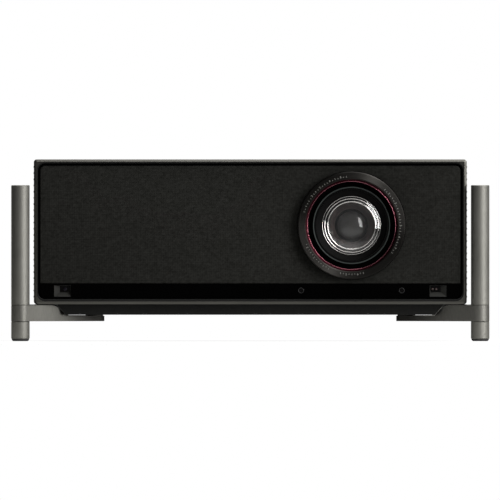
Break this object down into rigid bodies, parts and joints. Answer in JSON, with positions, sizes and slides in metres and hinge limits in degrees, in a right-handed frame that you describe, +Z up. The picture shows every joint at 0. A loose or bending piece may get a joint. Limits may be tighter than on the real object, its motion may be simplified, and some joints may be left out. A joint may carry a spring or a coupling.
{
  "type": "home projector",
  "caption": "Wide low home projector: cloth front with a large off-centre lens ring, gloss sensor strip and metal posts standing beside the body on arms with turning feet.",
  "frame": {"origin": "on the floor under the middle of the overall box", "axes": "+Z up, -Y is the front with the lens, +X the viewer's right"},
  "size_m": [0.4364, 0.3546, 0.1634],
  "materials": {
    "dark_anodised": "satin dark anodised aluminium, turned",
    "arm_casting": "satin dark anodised casting",
    "foot_rubber": "matte rubber",
    "screw_steel": "black oxide",
    "base_black": "matte black coated casting",
    "sheet_black": "black coated sheet",
    "case_graphite": "satin graphite anodised",
    "side_black": "fine matte black",
    "rear_black": "fine matte black",
    "frame_black": "matte moulded black",
    "grille_cloth": "fine woven speaker cloth",
    "gloss_black": "polished black acrylic",
    "sensor_dark": "infrared-clear dark plastic",
    "ring_metal": "circular brushed",
    "accent_red": "red anodised",
    "lens_black": "matte black anodised",
    "lens_glass": "coated glass",
    "gear_plastic": "moulded gear plastic",
    "motor_steel": "plated",
    "bare_aluminium": "milled",
    "engine_black": "black cast",
    "copper": "copper",
    "board_green": "solder mask",
    "socket_metal": "nickel plated",
    "rotor_black": "moulded",
    "cone_paper": "coated paper",
    "button_plastic": "satin"
  },
  "bodies": {
    "casing": {"posts": "dark_anodised", "front_left_arm": "arm_casting", "front_right_arm": "arm_casting", "rear_left_arm": "arm_casting", "rear_right_arm": "arm_casting", "underside_screws": "screw_steel", "base_tray": "base_black", "chassis_floor": "sheet_black", "top_cover": "case_graphite", "front_bezel": "case_graphite", "left_side_panel": "side_black", "right_side_panel": "side_black", "rear_panel": "rear_black", "grille_frame": "frame_black", "speaker_boxes": "frame_black", "intake_fan_frame": "frame_black", "exhaust_fan_frame": "frame_black", "mains_inlet": "frame_black", "grille_cloth": "grille_cloth", "sensor_bar": "gloss_black", "front_sensors": "sensor_dark", "lens_trim_ring": "ring_metal", "red_accent_ring": "accent_red", "engine_optics": "lens_glass", "lift_motor": "motor_steel", "fin_stack": "bare_aluminium", "chip_heat_sink": "bare_aluminium", "engine_housing": "engine_black", "laser_module": "engine_black", "heat_pipes": "copper", "main_board": "board_green", "power_supply": "board_green", "chip_board": "board_green", "rear_sockets": "socket_metal", "speaker_drivers": "cone_paper"},
    "lift_stage": {"lens_lift_plate": "bare_aluminium"},
    "lift_screw": {"lift_screw": "motor_steel"},
    "lens": {"lens_cross_plate": "bare_aluminium", "lens_barrel": "lens_black", "inner_lenses": "lens_glass", "lens_motors": "motor_steel"},
    "cross_screw": {"cross_screw": "motor_steel"},
    "front_cell": {"front_lens_cell": "lens_black", "front_glass": "lens_glass"},
    "focus_ring": {"focus_ring": "gear_plastic"},
    "focus_pinion": {"focus_pinion": "gear_plastic"},
    "zoom_ring": {"zoom_ring": "gear_plastic"},
    "zoom_pinion": {"zoom_pinion": "gear_plastic"},
    "diffuser_wheel": {"diffuser_wheel": "lens_glass"},
    "intake_rotor": {"intake_fan_rotor": "rotor_black"},
    "exhaust_rotor": {"exhaust_fan_rotor": "rotor_black"},
    "power_button": {"power_button": "button_plastic"},
    "front_left_foot_pad": {"front_left_foot_pad": "foot_rubber"},
    "front_left_foot": {"front_left_foot": "dark_anodised"},
    "front_right_foot_pad": {"front_right_foot_pad": "foot_rubber"},
    "front_right_foot": {"front_right_foot": "dark_anodised"},
    "rear_left_foot_pad": {"rear_left_foot_pad": "foot_rubber"},
    "rear_left_foot": {"rear_left_foot": "dark_anodised"},
    "rear_right_foot_pad": {"rear_right_foot_pad": "foot_rubber"},
    "rear_right_foot": {"rear_right_foot": "dark_anodised"}
  },
  "joints": [
    {"name": "lens_lift", "type": "slide", "parent": "casing", "child": "lift_stage", "axis": [0, 0, 1], "range_m": [-0.0033, 0.0033]},
    {"name": "lift_screw_turn", "type": "hinge", "parent": "casing", "child": "lift_screw", "pos_m": [0.027, -0.0628, 0.1], "axis": [0, 0, 1], "range_deg": [-600, 600]},
    {"name": "lens_cross", "type": "slide", "parent": "lift_stage", "child": "lens", "axis": [1, 0, 0], "range_m": [-0.0024, 0.0024]},
    {"name": "cross_screw_turn", "type": "hinge", "parent": "lens", "child": "cross_screw", "pos_m": [0.091, -0.0648, 0.051], "axis": [1, 0, 0], "range_deg": [-440, 440]},
    {"name": "focus_turn", "type": "hinge", "parent": "lens", "child": "focus_ring", "pos_m": [0.091, 0, 0.104], "axis": [0, 1, 0], "range_deg": [-35, 35]},
    {"name": "focus_slide", "type": "slide", "parent": "lens", "child": "front_cell", "axis": [0, -1, 0], "range_m": [-0.0021, 0.0021]},
    {"name": "focus_pinion_turn", "type": "hinge", "parent": "lens", "child": "focus_pinion", "pos_m": [0.05989, -0.119, 0.13511], "axis": [0, 1, 0], "range_deg": [-225, 225]},
    {"name": "zoom_turn", "type": "hinge", "parent": "lens", "child": "zoom_ring", "pos_m": [0.091, 0, 0.104], "axis": [0, 1, 0], "range_deg": [-30, 30]},
    {"name": "zoom_pinion_turn", "type": "hinge", "parent": "lens", "child": "zoom_pinion", "pos_m": [0.12211, -0.105, 0.13511], "axis": [0, 1, 0], "range_deg": [-195, 195]},
    {"name": "diffuser_spin", "type": "hinge", "parent": "casing", "child": "diffuser_wheel", "pos_m": [0.036, 0.006, 0.104], "axis": [1, 0, 0], "continuous": true},
    {"name": "intake_spin", "type": "hinge", "parent": "casing", "child": "intake_rotor", "pos_m": [-0.178, -0.01, 0.0961], "axis": [1, 0, 0], "continuous": true},
    {"name": "exhaust_spin", "type": "hinge", "parent": "casing", "child": "exhaust_rotor", "pos_m": [0.178, 0.095, 0.0961], "axis": [1, 0, 0], "continuous": true},
    {"name": "power_press", "type": "slide", "parent": "casing", "child": "power_button", "axis": [0, -1, 0], "range_m": [0, 0.0012], "stiffness_N_per_m": 900},
    {"name": "front_left_foot_height", "type": "slide", "parent": "casing", "child": "front_left_foot_pad", "axis": [0, 0, -1], "range_m": [0, 0.008]},
    {"name": "front_left_foot_turn", "type": "hinge", "parent": "front_left_foot_pad", "child": "front_left_foot", "pos_m": [-0.2067, -0.169, 0.01], "axis": [0, 0, -1], "range_deg": [0, 2300]},
    {"name": "front_right_foot_height", "type": "slide", "parent": "casing", "child": "front_right_foot_pad", "axis": [0, 0, -1], "range_m": [0, 0.008]},
    {"name": "front_right_foot_turn", "type": "hinge", "parent": "front_right_foot_pad", "child": "front_right_foot", "pos_m": [0.2067, -0.169, 0.01], "axis": [0, 0, -1], "range_deg": [0, 2300]},
    {"name": "rear_left_foot_height", "type": "slide", "parent": "casing", "child": "rear_left_foot_pad", "axis": [0, 0, -1], "range_m": [0, 0.008]},
    {"name": "rear_left_foot_turn", "type": "hinge", "parent": "rear_left_foot_pad", "child": "rear_left_foot", "pos_m": [-0.2099, 0.169, 0.01], "axis": [0, 0, -1], "range_deg": [0, 2300]},
    {"name": "rear_right_foot_height", "type": "slide", "parent": "casing", "child": "rear_right_foot_pad", "axis": [0, 0, -1], "range_m": [0, 0.008]},
    {"name": "rear_right_foot_turn", "type": "hinge", "parent": "rear_right_foot_pad", "child": "rear_right_foot", "pos_m": [0.2099, 0.169, 0.01], "axis": [0, 0, -1], "range_deg": [0, 2300]}
  ],
  "couplings": [
    {"joint": "lift_screw_turn", "follows": "lens_lift", "rad_per_m": -3141.6},
    {"joint": "cross_screw_turn", "follows": "lens_cross", "rad_per_m": 3141.6},
    {"joint": "focus_slide", "follows": "focus_turn", "m_per_rad": 0.003274},
    {"joint": "focus_pinion_turn", "follows": "focus_turn", "ratio": -6.3333},
    {"joint": "zoom_pinion_turn", "follows": "zoom_turn", "ratio": -6.3333},
    {"joint": "front_left_foot_height", "follows": "front_left_foot_turn", "m_per_rad": 0.00019894},
    {"joint": "front_right_foot_height", "follows": "front_right_foot_turn", "m_per_rad": 0.00019894},
    {"joint": "rear_left_foot_height", "follows": "rear_left_foot_turn", "m_per_rad": 0.00019894},
    {"joint": "rear_right_foot_height", "follows": "rear_right_foot_turn", "m_per_rad": 0.00019894}
  ]
}
